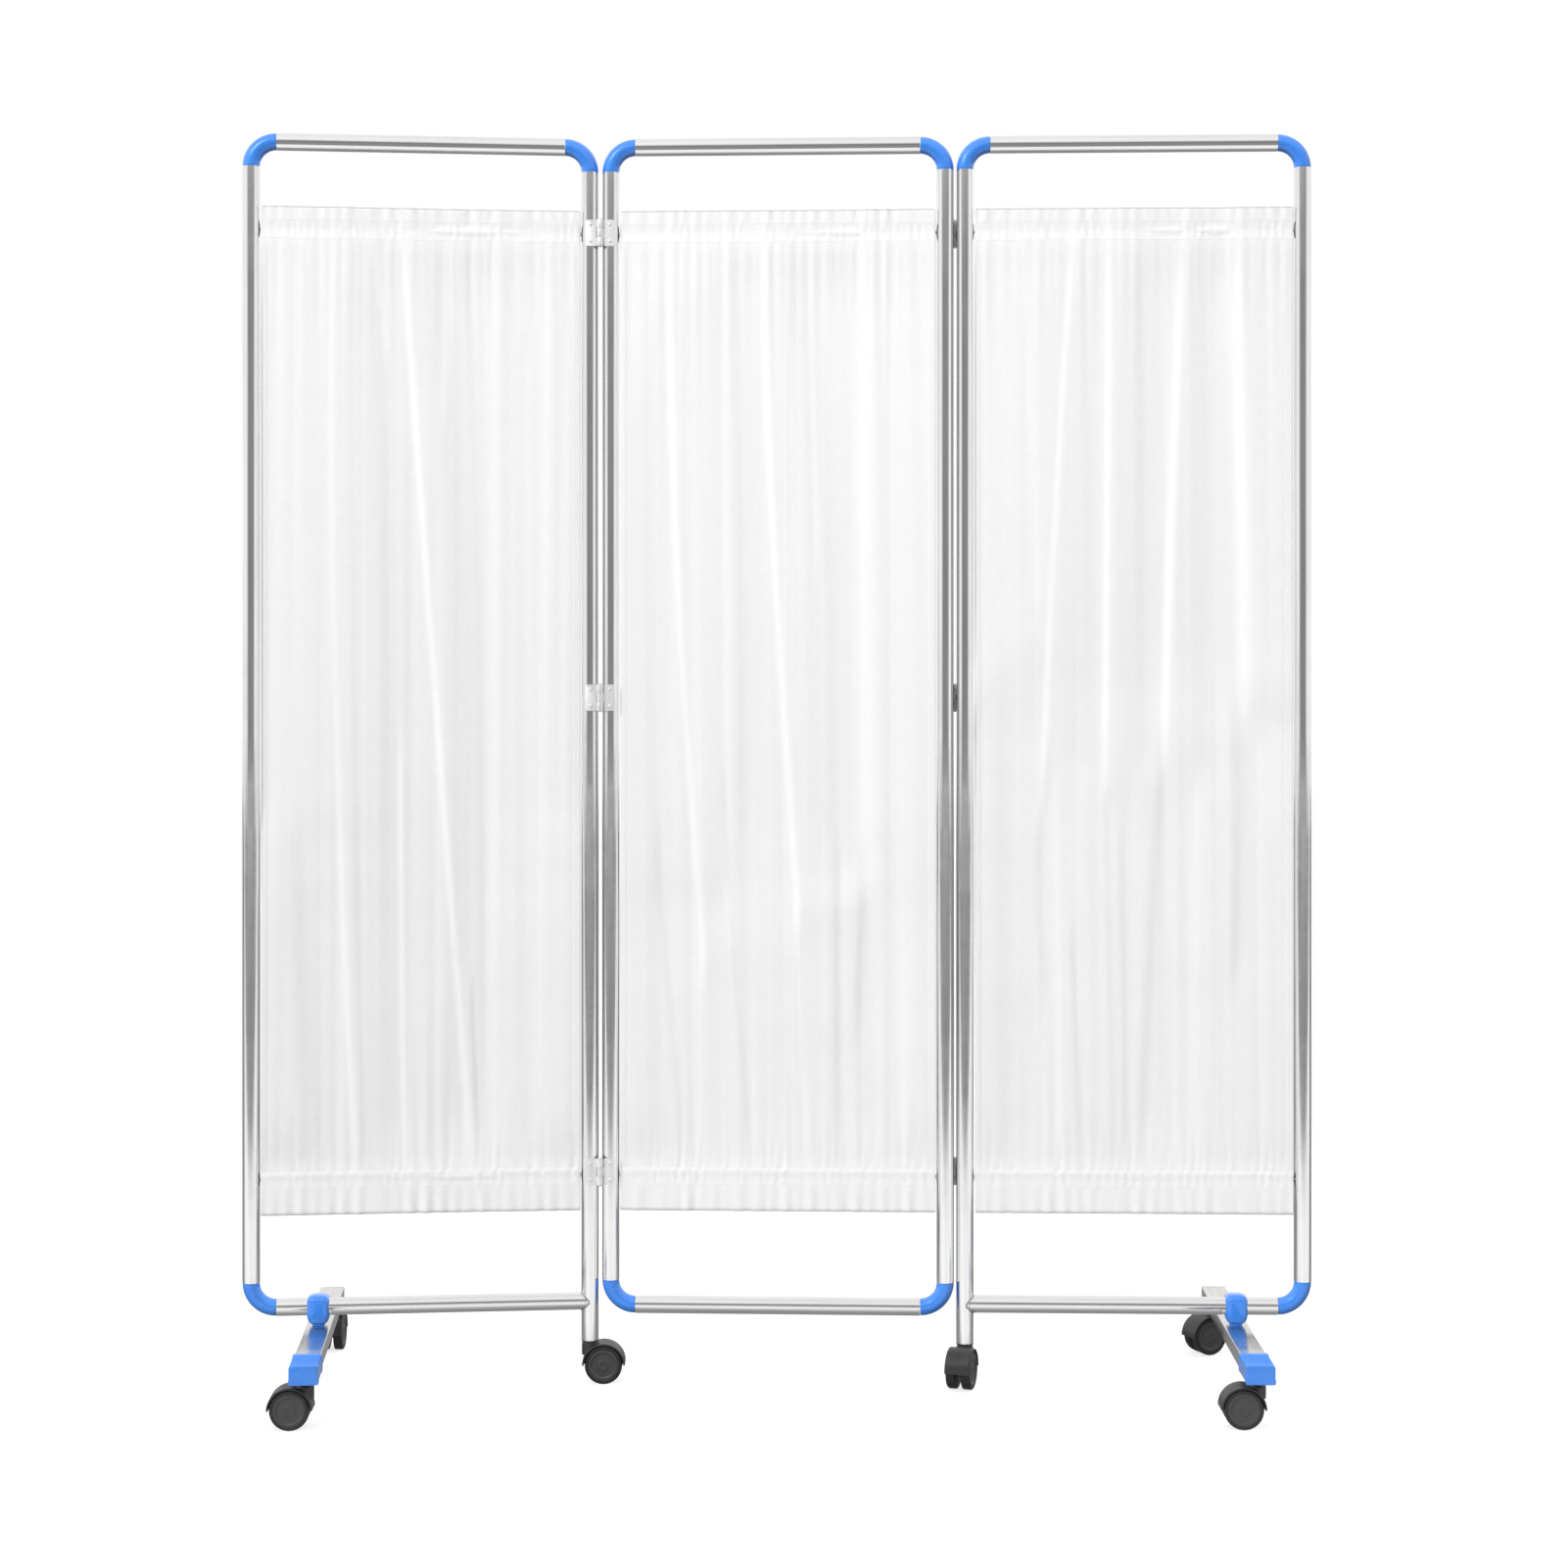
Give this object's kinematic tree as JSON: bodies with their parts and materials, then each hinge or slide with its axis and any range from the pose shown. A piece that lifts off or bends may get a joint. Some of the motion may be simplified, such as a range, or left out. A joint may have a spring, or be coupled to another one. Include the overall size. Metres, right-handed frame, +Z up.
{
  "type": "ward privacy screen",
  "caption": "Folding ward privacy screen on castors: hinged tube panels with blue corner elbows and gathered white curtains.",
  "frame": {"origin": "on the floor, below the centre of the bounding box at rest", "axes": "+Z up, +X to the right along the screen as it is seen from the front, +Y towards the rear"},
  "size_m": [1.5324, 0.4976, 1.8],
  "materials": {
    "polished_steel": "polished stainless steel tube",
    "plain_steel": "plain drawn steel",
    "blue_plastic": "glossy moulded plastic",
    "curtain_cloth": "plain woven polyester, gathered",
    "castor_housing": "black moulded plastic",
    "castor_wheel": "dark grey moulded plastic"
  },
  "bodies": {
    "middle_panel": {"middle_left_upright": "polished_steel", "middle_right_upright": "polished_steel", "middle_top_rail": "polished_steel", "middle_bottom_rail": "polished_steel", "middle_top_left_elbow": "blue_plastic", "middle_top_right_elbow": "blue_plastic", "middle_bottom_left_elbow": "blue_plastic", "middle_bottom_right_elbow": "blue_plastic", "middle_top_curtain_rod": "plain_steel", "middle_bottom_curtain_rod": "plain_steel", "middle_curtain": "curtain_cloth", "left_bottom_hinge_pin": "plain_steel", "left_middle_hinge_pin": "plain_steel", "left_top_hinge_pin": "plain_steel", "right_bottom_hinge_pin": "plain_steel", "right_middle_hinge_pin": "plain_steel", "right_top_hinge_pin": "plain_steel"},
    "left_panel": {"left_outer_upright": "polished_steel", "left_inner_upright": "polished_steel", "left_top_rail": "polished_steel", "left_bottom_rail": "polished_steel", "left_top_outer_elbow": "blue_plastic", "left_top_inner_elbow": "blue_plastic", "left_bottom_outer_elbow": "blue_plastic", "left_top_curtain_rod": "plain_steel", "left_bottom_curtain_rod": "plain_steel", "left_curtain": "curtain_cloth", "left_castor_socket": "castor_housing", "left_foot_bar": "polished_steel", "left_foot_clamp": "blue_plastic", "left_front_foot_cap": "blue_plastic", "left_rear_foot_plug": "castor_housing"},
    "right_panel": {"right_outer_upright": "polished_steel", "right_inner_upright": "polished_steel", "right_top_rail": "polished_steel", "right_bottom_rail": "polished_steel", "right_top_outer_elbow": "blue_plastic", "right_top_inner_elbow": "blue_plastic", "right_bottom_outer_elbow": "blue_plastic", "right_top_curtain_rod": "plain_steel", "right_bottom_curtain_rod": "plain_steel", "right_curtain": "curtain_cloth", "right_castor_socket": "castor_housing", "right_foot_bar": "polished_steel", "right_foot_clamp": "blue_plastic", "right_front_foot_cap": "blue_plastic", "right_rear_foot_plug": "castor_housing"},
    "left_front_castor": {"left_front_castor_body": "castor_housing"},
    "left_front_wheels": {"left_front_castor_wheels": "castor_wheel"},
    "left_rear_castor": {"left_rear_castor_body": "castor_housing"},
    "left_rear_wheels": {"left_rear_castor_wheels": "castor_wheel"},
    "left_inner_castor": {"left_inner_castor_body": "castor_housing"},
    "left_inner_wheels": {"left_inner_castor_wheels": "castor_wheel"},
    "right_front_castor": {"right_front_castor_body": "castor_housing"},
    "right_front_wheels": {"right_front_castor_wheels": "castor_wheel"},
    "right_rear_castor": {"right_rear_castor_body": "castor_housing"},
    "right_rear_wheels": {"right_rear_castor_wheels": "castor_wheel"},
    "right_inner_castor": {"right_inner_castor_body": "castor_housing"},
    "right_inner_wheels": {"right_inner_castor_wheels": "castor_wheel"}
  },
  "joints": [
    {"name": "left_fold", "type": "hinge", "parent": "middle_panel", "child": "left_panel", "pos_m": [-0.25639, 0.01406, 0.99078], "axis": [0, 0, 1], "range_deg": [-16, 172.5]},
    {"name": "right_fold", "type": "hinge", "parent": "middle_panel", "child": "right_panel", "pos_m": [0.25644, 0.02449, 0.99078], "axis": [0, 0, 1], "range_deg": [-9, 179.5]},
    {"name": "left_front_swivel", "type": "hinge", "parent": "left_panel", "child": "left_front_castor", "pos_m": [-0.64006, -0.21113, 0.06], "axis": [0, 0, 1], "continuous": true},
    {"name": "left_front_roll", "type": "hinge", "parent": "left_front_castor", "child": "left_front_wheels", "pos_m": [-0.66003, -0.21225, 0.027], "axis": [0.0558, -0.9984, 0], "continuous": true},
    {"name": "left_rear_swivel", "type": "hinge", "parent": "left_panel", "child": "left_rear_castor", "pos_m": [-0.67722, 0.19718, 0.06], "axis": [0, 0, 1], "continuous": true},
    {"name": "left_rear_roll", "type": "hinge", "parent": "left_rear_castor", "child": "left_rear_wheels", "pos_m": [-0.67729, 0.21718, 0.027], "axis": [-1, -0.0035, 0], "continuous": true},
    {"name": "left_inner_swivel", "type": "hinge", "parent": "left_panel", "child": "left_inner_castor", "pos_m": [-0.27174, 0.02823, 0.06], "axis": [0, 0, 1], "continuous": true},
    {"name": "left_inner_roll", "type": "hinge", "parent": "left_inner_castor", "child": "left_inner_wheels", "pos_m": [-0.25175, 0.02865, 0.027], "axis": [-0.0209, 0.9998, 0], "continuous": true},
    {"name": "right_front_swivel", "type": "hinge", "parent": "right_panel", "child": "right_front_castor", "pos_m": [0.65181, -0.20854, 0.06], "axis": [0, 0, 1], "continuous": true},
    {"name": "right_front_roll", "type": "hinge", "parent": "right_front_castor", "child": "right_front_wheels", "pos_m": [0.63181, -0.20826, 0.027], "axis": [-0.014, -0.9999, 0], "continuous": true},
    {"name": "right_rear_swivel", "type": "hinge", "parent": "right_panel", "child": "right_rear_castor", "pos_m": [0.66469, 0.20126, 0.06], "axis": [0, 0, 1], "continuous": true},
    {"name": "right_rear_roll", "type": "hinge", "parent": "right_rear_castor", "child": "right_rear_wheels", "pos_m": [0.64645, 0.19306, 0.027], "axis": [0.4099, -0.9121, 0], "continuous": true},
    {"name": "right_inner_swivel", "type": "hinge", "parent": "right_panel", "child": "right_inner_castor", "pos_m": [0.26994, 0.00856, 0.06], "axis": [0, 0, 1], "continuous": true},
    {"name": "right_inner_roll", "type": "hinge", "parent": "right_inner_castor", "child": "right_inner_wheels", "pos_m": [0.26383, -0.01048, 0.027], "axis": [0.9521, -0.3057, 0], "continuous": true}
  ]
}
